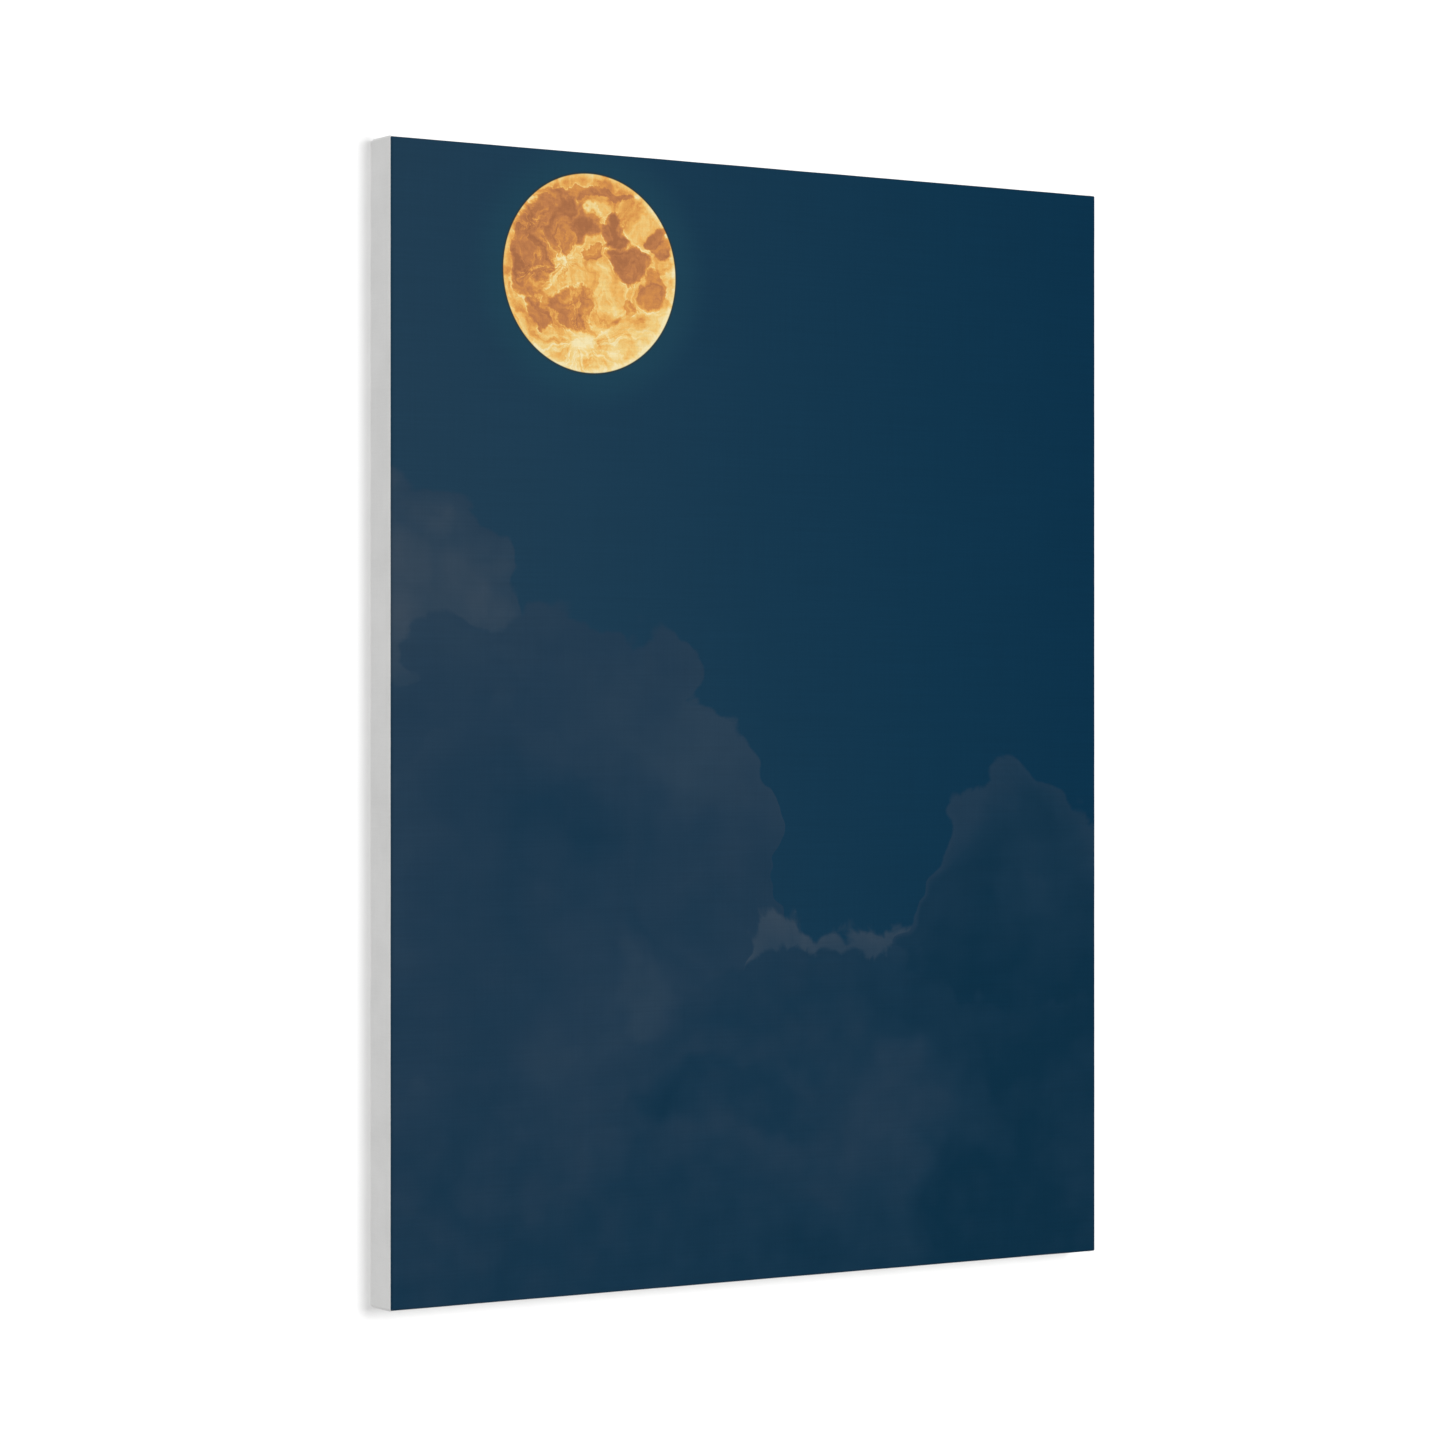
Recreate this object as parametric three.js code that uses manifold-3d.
// An art canvas of 24 x 32 inches, wrapped round a keyed stretcher frame that hangs on one wall nail.
//
// Millimetres. The printed face looks along -Y; +X is right and +Z is up as seen from the front.
// The origin is on the wall, where the wall nail carries the middle notch of the sawtooth hanger.
//
// A bar and all that is cut in it are drawn in the bar's own coordinates: along its length from its
// middle, inward from its outer edge, and back from its front. The four bars are turned copies.

import * as THREE from "three";
import { mergeVertices } from "three/addons/utils/BufferGeometryUtils.js";
import Module from "manifold-3d";

const wasm = await Module();
wasm.setup();

// The finished canvas, over the cloth, and its top edge above the wall nail.
const WIDTH = 609.6;
const HEIGHT = 812.8;
const DEPTH = 31.75;
const TOP = 34.4;

// Room between two pieces that touch.
const GAP = 0.3;

// Cloth.
const CLOTH = 0.6;
const FOLD_OVER = 24;
const EDGE_ROUND = 2.6;

// Stretcher bars. The ends have four layers, front to back: shoulder, tongue, tongue, shoulder.
const BAR_WIDTH = 38;
const BEAD_WIDTH = 5;
const BEAD_DROP = 1.6;
const BEVEL_DROP = 3.6;
const LAYERS = [8.5, 15, 21.5];
const TONGUE_SHORT = 1;

// Wedge-shaped keys.
const KEY_LENGTH = 45;
const KEY_TIP = 5.5;
const KEY_HEEL = 16;
const KEY_THICK = 5;
const KEY_SLOPE = (KEY_HEEL - KEY_TIP) / KEY_LENGTH;
const KEY_REACH = 24.5;

// Cross brace.
const BRACE_WIDTH = 38;
const BRACE_DEPTH = 19;
const TENON_LENGTH = 19;
const TENON_DEPTH = [17.2, 23.8];
const BRACE_KEY_REACH = 16;

// Hardware on the back.
const BUMPER_HEIGHT = 4;
const BUMPER_RADIUS = 5.5;
const BUMPER_FLAT = 3.6;
const BUMPER_FROM_CORNER = 62;
const HANGER_LENGTH = 46;
const HANGER_HEIGHT = 10;
const HANGER_SHEET = 0.8;
const HANGER_STEP = 2.5;
const HANGER_TAB = 8;
const TOOTH_PITCH = 3;
const TOOTH_HEIGHT = 2;
const NAIL_SHANK = 0.7;
const NAIL_HEAD = 2.1;
const NAIL_HEAD_HEIGHT = 1;
const NAIL_LENGTH = 10;
const HANGER_TOP = HANGER_HEIGHT - TOOTH_HEIGHT;
const NAIL_LEVEL = HANGER_TOP / 2;
const NAIL_PLACES = [-1, 1].map((side) => (side * (HANGER_LENGTH - HANGER_TAB)) / 2);

// Staples: a row along each bar, and one more across each corner, on the top and bottom bars.
const STAPLE_CROWN = 10.6;
const STAPLE_LEG = 8;
const WIRE_WIDTH = 1.2;
const WIRE_THICK = 0.7;
const STAPLE_INSET = 12;
const LEVEL_STAPLES = { count: 7, pitch: 72 };
const UPRIGHT_STAPLES = { count: 9, pitch: 84 };
const CORNER_STAPLE = 30;

// Levels along Y, from the wall at 0 towards the front, and the edges of the finished canvas.
const WOOD_BACK = -(BUMPER_HEIGHT + GAP);
const BACK = WOOD_BACK + GAP + CLOTH;
const FRONT = BACK - DEPTH;
const WOOD_FRONT = FRONT + CLOTH + GAP;
const WOOD_DEPTH = WOOD_BACK - WOOD_FRONT;
const MIDDLE = TOP - HEIGHT / 2;
const BAR_INSET = CLOTH + GAP;
const INNER_EDGE = BAR_INSET + BAR_WIDTH;

// Materials, one for each kind of piece.

function paint(color, roughness, metalness = 0) {
  return new THREE.MeshStandardMaterial({ color, roughness, metalness });
}

const printedCloth = paint(0x1d3f57, 0.75);
const pine = paint(0xd9b987, 0.7);
const keyWood = paint(0xe2c79b, 0.72);
const platedSteel = paint(0xb9b4a4, 0.35, 1);
const stapleWire = paint(0xc4c6c8, 0.3, 1);
const rubber = paint(0x3a3b3d, 0.8);

// Solids: three.js geometry in, booleans, three.js geometry out.

function solid(geometry) {
  const bare = geometry.clone();
  bare.deleteAttribute("normal");
  bare.deleteAttribute("uv");
  const merged = mergeVertices(bare, 1e-4);
  const vertProperties = new Float32Array(merged.attributes.position.array);
  const triVerts = new Uint32Array(merged.index.array);
  return new wasm.Manifold(new wasm.Mesh({ numProp: 3, vertProperties, triVerts }));
}

function geometryOf(manifold) {
  const mesh = manifold.getMesh();
  const geometry = new THREE.BufferGeometry();
  geometry.setAttribute("position", new THREE.BufferAttribute(mesh.vertProperties, 3));
  geometry.setIndex(new THREE.BufferAttribute(mesh.triVerts, 1));
  const flat = geometry.toNonIndexed();
  flat.computeVertexNormals();
  return flat;
}

function outline(points) {
  return new THREE.Shape(points.map(([x, y]) => new THREE.Vector2(x, y)));
}

function extrude(shape, length, curveSegments = 6) {
  return new THREE.ExtrudeGeometry(shape, { depth: length, bevelEnabled: false, curveSegments });
}

// A block with its outline drawn (along, inward), reaching from one depth to another.
function slab(shape, from, to) {
  return extrude(shape, to - from).rotateX(-Math.PI / 2).translate(0, from, 0);
}

function box(low, high) {
  const size = low.map((value, axis) => high[axis] - value);
  const centre = low.map((value, axis) => (value + high[axis]) / 2);
  return new THREE.BoxGeometry(...size).translate(...centre);
}

function piece(name, geometry, material) {
  const mesh = new THREE.Mesh(geometry, material);
  mesh.name = name;
  return mesh;
}

// Staples. Each has a place along its bar and a turn of its crown. All lie equally far inward.

function evenly({ count, pitch }) {
  return Array.from({ length: count }, (_, index) => (index - (count - 1) / 2) * pitch);
}

function staplesOf(bar) {
  const rows = evenly(bar.staples).map((along, index) => ({
    name: `staple_${bar.name}_${index + 1}`,
    along,
    turn: 0,
  }));
  if (bar.holdsCorners) {
    const reach = bar.length / 2 - CORNER_STAPLE;
    rows.push({ name: `staple_corner_${bar.name}_${bar.ends[0]}`, along: -reach, turn: Math.PI / 4 });
    rows.push({ name: `staple_corner_${bar.name}_${bar.ends[1]}`, along: reach, turn: -Math.PI / 4 });
  }
  return rows;
}

// A bent wire, drawn in the plane of its crown and legs: crown at the back, legs towards the front.
function stapleGeometry() {
  const half = STAPLE_CROWN / 2;
  const bend = WIRE_THICK;
  const leg = half - WIRE_THICK;
  const wire = new THREE.Shape();
  wire.moveTo(-half, -STAPLE_LEG);
  wire.lineTo(-leg, -STAPLE_LEG - WIRE_THICK);
  wire.lineTo(-leg, -WIRE_THICK);
  wire.lineTo(leg, -WIRE_THICK);
  wire.lineTo(leg, -STAPLE_LEG - WIRE_THICK);
  wire.lineTo(half, -STAPLE_LEG);
  wire.lineTo(half, -bend);
  wire.absarc(half - bend, -bend, bend, 0, Math.PI / 2, false);
  wire.lineTo(bend - half, 0);
  wire.absarc(bend - half, -bend, bend, Math.PI / 2, Math.PI, false);
  return extrude(wire, WIRE_WIDTH, 3).translate(0, 0, -WIRE_WIDTH / 2);
}

// The holes that one staple's legs fill, with room round them, from the cloth's back into the wood.
function legHoles(staple) {
  const spread = STAPLE_CROWN / 2 - WIRE_THICK / 2;
  const across = WIRE_THICK / 2 + GAP;
  const along = WIRE_WIDTH / 2 + GAP;
  const depth = STAPLE_LEG + 2 * WIRE_THICK;
  const holes = [-spread, spread].map((x) =>
    solid(
      box([x - across, WOOD_DEPTH - depth, -along], [x + across, WOOD_DEPTH + 2 * BAR_INSET, along])
        .rotateY(staple.turn)
        .translate(staple.along, 0, -STAPLE_INSET)
    )
  );
  return holes[0].add(holes[1]);
}

// Keys. The long straight side lies along the neighbour's inner edge, the tip points into the slot.

// The room that a key needs beside that edge, at a distance from its tip.
function keyRoom(fromTip) {
  return KEY_TIP + 2 * GAP + KEY_SLOPE * fromTip;
}

function keyOutline(tipAt) {
  return outline([
    [GAP, tipAt],
    [GAP + KEY_TIP, tipAt],
    [GAP + KEY_HEEL, tipAt + KEY_LENGTH],
    [GAP, tipAt + KEY_LENGTH],
  ]);
}

function keyGeometry(tipAt, depthMiddle) {
  return slab(keyOutline(tipAt), depthMiddle - KEY_THICK / 2, depthMiddle + KEY_THICK / 2);
}

// Bars.

// The section of a bar: a rounded bead at the outer edge, then a bevel that falls away from the cloth.
function barSection() {
  const round = EDGE_ROUND - CLOTH;
  const section = new THREE.Shape();
  section.moveTo(0, round);
  section.absarc(round, round, round, Math.PI, 1.5 * Math.PI, false);
  section.lineTo(BEAD_WIDTH - round, 0);
  section.quadraticCurveTo(BEAD_WIDTH, 0, BEAD_WIDTH + round / 2, BEAD_DROP);
  section.lineTo(BAR_WIDTH, BEVEL_DROP);
  section.lineTo(BAR_WIDTH, WOOD_DEPTH);
  section.lineTo(0, WOOD_DEPTH);
  return section;
}

// A cut at one end of a bar, with its outline drawn (from the end, inward).
function endCut(length, side, points, from, to) {
  const placed = points.map(([fromEnd, inward]) => [side * (length / 2 - fromEnd), inward]);
  return solid(slab(outline(placed), from, to));
}

// The cuts that leave one end with mitred shoulders, a tongue, and a slot for the neighbour's tongue.
// The first end has its tongue in the second layer; the other end has it in the third.
function endCuts(length, side) {
  const first = side < 0;
  const past = 1;
  const play = GAP / 2;
  const offset = play * Math.SQRT2;
  const edge = BAR_WIDTH + past;
  const [shoulder, middle, back] = LAYERS;
  const mitre = [
    [-past, -past - offset],
    [edge + offset, edge],
    [-past, edge],
  ];
  const tipAt = BAR_WIDTH - KEY_REACH;
  const slot = [
    [-past, -past],
    [BAR_WIDTH + keyRoom(-past - tipAt), -past],
    [BAR_WIDTH + keyRoom(edge - tipAt), edge],
    [-past, edge],
  ];
  const tip = [
    [-past, -past],
    [TONGUE_SHORT, -past],
    [TONGUE_SHORT, edge],
    [-past, edge],
  ];
  const grow = first ? play : -play;
  const slotLayer = first ? [middle - play, back + play] : [shoulder - play, middle + play];
  const tongueLayer = first ? [shoulder, middle] : [middle, back];
  return [
    endCut(length, side, mitre, -past, shoulder + grow),
    endCut(length, side, mitre, back + grow, WOOD_DEPTH + past),
    endCut(length, side, slot, ...slotLayer),
    endCut(length, side, tip, ...tongueLayer),
  ];
}

// The mortise in the middle of a side bar, for the brace's tenon with a key above and below it.
function mortise() {
  const floor = BAR_WIDTH - TENON_LENGTH - 1;
  const mouth = BAR_WIDTH + 1;
  const tipAt = BAR_WIDTH - BRACE_KEY_REACH;
  const deep = BRACE_WIDTH / 2 + keyRoom(floor - tipAt);
  const wide = BRACE_WIDTH / 2 + keyRoom(mouth - tipAt);
  const hole = outline([
    [-wide, mouth],
    [-deep, floor],
    [deep, floor],
    [wide, mouth],
  ]);
  return solid(slab(hole, TENON_DEPTH[0] - GAP, TENON_DEPTH[1] + GAP));
}

function nailHole(x) {
  const hole = new THREE.CylinderGeometry(NAIL_SHANK + GAP, NAIL_SHANK + GAP, 2 * NAIL_LENGTH, 12);
  return solid(hole.translate(x, WOOD_DEPTH, BAR_INSET - TOP + NAIL_LEVEL));
}

function barGeometry(bar) {
  let wood = solid(
    extrude(barSection(), bar.length).translate(0, 0, -bar.length / 2).rotateY(Math.PI / 2)
  );
  const cuts = [...endCuts(bar.length, -1), ...endCuts(bar.length, 1)];
  cuts.push(...staplesOf(bar).map(legHoles));
  if (bar.holdsBrace) cuts.push(mortise());
  if (bar.holdsHanger) cuts.push(...NAIL_PLACES.map(nailHole));
  for (const cut of cuts) wood = wood.subtract(cut);
  return geometryOf(wood);
}

// A bar with the keys in its two slots and the staples on its back, in the bar's coordinates.
function barAssembly(bar) {
  const group = new THREE.Group();
  group.add(piece(`${bar.name}_bar`, barGeometry(bar), pine));
  const [shoulder, middle, back] = LAYERS;
  const tipAt = BAR_WIDTH - KEY_REACH;
  for (const side of [-1, 1]) {
    const layerMiddle = side < 0 ? (middle + back) / 2 : (shoulder + middle) / 2;
    const wedge = keyGeometry(tipAt, layerMiddle);
    if (side > 0) wedge.rotateZ(Math.PI).translate(0, 2 * layerMiddle, 0);
    const key = piece(`key_${bar.name}_${bar.ends[side < 0 ? 0 : 1]}`, wedge, keyWood);
    key.position.x = side * (bar.length / 2 - BAR_WIDTH);
    group.add(key);
  }
  for (const staple of staplesOf(bar)) {
    const wire = piece(staple.name, stapleGeometry(), stapleWire);
    wire.position.set(staple.along, WOOD_DEPTH + BAR_INSET + GAP + WIRE_THICK, -STAPLE_INSET);
    wire.rotation.y = staple.turn;
    group.add(wire);
  }
  group.rotation.y = bar.turn;
  group.position.set(bar.outer[0], WOOD_FRONT, MIDDLE + bar.outer[1]);
  return group;
}

// The brace between the side bars.

function braceGeometry() {
  const reach = WIDTH / 2 - INNER_EDGE - GAP;
  const half = BRACE_WIDTH / 2;
  const back = WOOD_DEPTH;
  const bar = solid(box([-reach, back - BRACE_DEPTH, -half], [reach, back, half]));
  const tenon = solid(
    box([-reach - TENON_LENGTH, TENON_DEPTH[0], -half], [reach + TENON_LENGTH, TENON_DEPTH[1], half])
  );
  return geometryOf(bar.add(tenon));
}

function braceAssembly() {
  const group = new THREE.Group();
  group.add(piece("cross_brace", braceGeometry(), pine));
  const tipFromMiddle = WIDTH / 2 - INNER_EDGE + BRACE_KEY_REACH;
  const depthMiddle = (TENON_DEPTH[0] + TENON_DEPTH[1]) / 2;
  for (const [sideName, side] of [["left", -1], ["right", 1]]) {
    for (const [levelName, level] of [["upper", 1], ["lower", -1]]) {
      const wedge = keyGeometry(0, 0).rotateY(Math.PI / 2);
      if (side < 0) wedge.rotateZ(Math.PI);
      if (level > 0) wedge.rotateX(Math.PI);
      const key = piece(`brace_key_${sideName}_${levelName}`, wedge, keyWood);
      key.position.set(side * tipFromMiddle, depthMiddle, (level * BRACE_WIDTH) / 2);
      group.add(key);
    }
  }
  group.position.set(0, WOOD_FRONT, MIDDLE);
  return group;
}

// The cloth: a tray round the frame, open at the back except for the part folded over the bars.

// A block with its long front edges rounded, as the cloth goes round the beads.
function roundedBlock(inset, round) {
  const depth = DEPTH - 2 * inset;
  const section = (width) => {
    const half = width / 2 - inset;
    const shape = new THREE.Shape();
    shape.moveTo(-half, depth);
    shape.lineTo(-half, round);
    shape.absarc(round - half, round, round, Math.PI, 1.5 * Math.PI, false);
    shape.absarc(half - round, round, round, 1.5 * Math.PI, 2 * Math.PI, false);
    shape.lineTo(half, depth);
    return shape;
  };
  const upright = extrude(section(WIDTH), HEIGHT - 2 * inset).translate(0, 0, inset - HEIGHT / 2);
  const level = extrude(section(HEIGHT), WIDTH - 2 * inset).translate(0, 0, inset - WIDTH / 2);
  return solid(upright.translate(0, inset, 0)).intersect(
    solid(level.translate(0, inset, 0).rotateY(Math.PI / 2))
  );
}

function canvasGeometry(bars) {
  const outside = roundedBlock(0, EDGE_ROUND);
  const inside = roundedBlock(CLOTH, EDGE_ROUND - CLOTH);
  const x = WIDTH / 2 - FOLD_OVER;
  const z = HEIGHT / 2 - FOLD_OVER;
  let cloth = outside.subtract(inside);
  cloth = cloth.subtract(solid(box([-x, DEPTH / 2, -z], [x, DEPTH + 1, z])));
  for (const bar of bars) {
    const move = new THREE.Matrix4().makeRotationY(bar.turn);
    move.setPosition(bar.outer[0], BAR_INSET, bar.outer[1]);
    for (const staple of staplesOf(bar)) {
      cloth = cloth.subtract(legHoles(staple).transform(move.elements));
    }
  }
  return geometryOf(cloth);
}

function canvas(bars) {
  const cloth = piece("canvas", canvasGeometry(bars), printedCloth);
  cloth.position.set(0, FRONT, MIDDLE);
  return cloth;
}

// The sawtooth hanger: a strip stepped away from the wood between its two nail tabs, toothed below.

function hangerFace() {
  const half = HANGER_LENGTH / 2;
  const toothed = half - HANGER_TAB - HANGER_STEP;
  const teeth = Math.floor(toothed / TOOTH_PITCH);
  const face = new THREE.Shape();
  face.moveTo(-half, HANGER_TOP);
  face.lineTo(-half, 0);
  for (let tooth = -teeth; tooth < teeth; tooth++) {
    face.lineTo(tooth * TOOTH_PITCH, 0);
    face.lineTo((tooth + 0.5) * TOOTH_PITCH, -TOOTH_HEIGHT);
  }
  face.lineTo(teeth * TOOTH_PITCH, 0);
  face.lineTo(half, 0);
  face.lineTo(half, HANGER_TOP);
  for (const x of NAIL_PLACES) {
    const hole = new THREE.Path();
    hole.absarc(x, NAIL_LEVEL, NAIL_SHANK + GAP, 0, 2 * Math.PI, true);
    face.holes.push(hole);
  }
  return face;
}

function hangerStrip() {
  const half = HANGER_LENGTH / 2;
  const low = half - HANGER_TAB;
  const high = low - HANGER_STEP;
  const near = [[-half, 0], [-low, 0], [-high, HANGER_STEP], [high, HANGER_STEP], [low, 0], [half, 0]];
  const far = near.map(([x, y]) => [x, y + HANGER_SHEET]).reverse();
  return outline([...near, ...far]);
}

function hanger() {
  const past = 1;
  const strip = extrude(hangerStrip(), HANGER_HEIGHT + 2 * past).translate(0, 0, -TOOTH_HEIGHT - past);
  const face = extrude(hangerFace(), 2 * HANGER_HEIGHT, 5).rotateX(Math.PI / 2);
  const plate = solid(strip).intersect(solid(face.translate(0, HANGER_HEIGHT, 0)));
  const mesh = piece("sawtooth_hanger", geometryOf(plate), platedSteel);
  mesh.position.y = WOOD_BACK + GAP;
  return mesh;
}

function hangerNail(name, x) {
  const headFront = GAP + HANGER_SHEET + GAP;
  const profile = [
    [0, -NAIL_LENGTH],
    [NAIL_SHANK, 2 * NAIL_SHANK - NAIL_LENGTH],
    [NAIL_SHANK, headFront],
    [NAIL_HEAD, headFront],
    [NAIL_HEAD, headFront + 0.4 * NAIL_HEAD_HEIGHT],
    [0.6 * NAIL_HEAD, headFront + 0.9 * NAIL_HEAD_HEIGHT],
    [0, headFront + NAIL_HEAD_HEIGHT],
  ];
  const points = profile.map(([radius, y]) => new THREE.Vector2(radius, y));
  const mesh = piece(name, new THREE.LatheGeometry(points, 16), platedSteel);
  mesh.position.set(x, WOOD_BACK, NAIL_LEVEL);
  return mesh;
}

// The bumpers keep the bottom edge off the wall. Their flat ends touch it.

function wallBumper(name, x) {
  const bulge = new THREE.QuadraticBezierCurve(
    new THREE.Vector2(BUMPER_RADIUS, -0.6 * BUMPER_HEIGHT),
    new THREE.Vector2(BUMPER_RADIUS, -0.1 * BUMPER_HEIGHT),
    new THREE.Vector2(BUMPER_FLAT, 0)
  );
  const base = [new THREE.Vector2(0, -BUMPER_HEIGHT), new THREE.Vector2(BUMPER_RADIUS, -BUMPER_HEIGHT)];
  const profile = [...base, ...bulge.getPoints(5), new THREE.Vector2(0, 0)];
  const mesh = piece(name, new THREE.LatheGeometry(profile, 24), rubber);
  const bareWood = (FOLD_OVER + INNER_EDGE) / 2;
  mesh.position.set(x, 0, TOP - HEIGHT + bareWood);
  return mesh;
}

// The whole canvas.

const across = WIDTH - 2 * BAR_INSET;
const upright = HEIGHT - 2 * BAR_INSET;
const BARS = [
  { name: "top", ends: ["left", "right"], length: across, turn: 0, outer: [0, upright / 2] },
  { name: "right", ends: ["top", "bottom"], length: upright, turn: Math.PI / 2, outer: [across / 2, 0] },
  { name: "bottom", ends: ["right", "left"], length: across, turn: Math.PI, outer: [0, -upright / 2] },
  { name: "left", ends: ["bottom", "top"], length: upright, turn: -Math.PI / 2, outer: [-across / 2, 0] },
];
for (const bar of BARS) {
  const level = bar.length === across;
  bar.staples = level ? LEVEL_STAPLES : UPRIGHT_STAPLES;
  bar.holdsCorners = level;
  bar.holdsBrace = !level;
  bar.holdsHanger = bar.name === "top";
}

const stretchedCanvas = new THREE.Group();
stretchedCanvas.add(canvas(BARS));
stretchedCanvas.add(...BARS.map(barAssembly));
stretchedCanvas.add(braceAssembly());
stretchedCanvas.add(hanger());
stretchedCanvas.add(hangerNail("hanger_nail_left", NAIL_PLACES[0]));
stretchedCanvas.add(hangerNail("hanger_nail_right", NAIL_PLACES[1]));
const bumperReach = WIDTH / 2 - BUMPER_FROM_CORNER;
stretchedCanvas.add(wallBumper("wall_bumper_left", -bumperReach));
stretchedCanvas.add(wallBumper("wall_bumper_right", bumperReach));

export default stretchedCanvas;
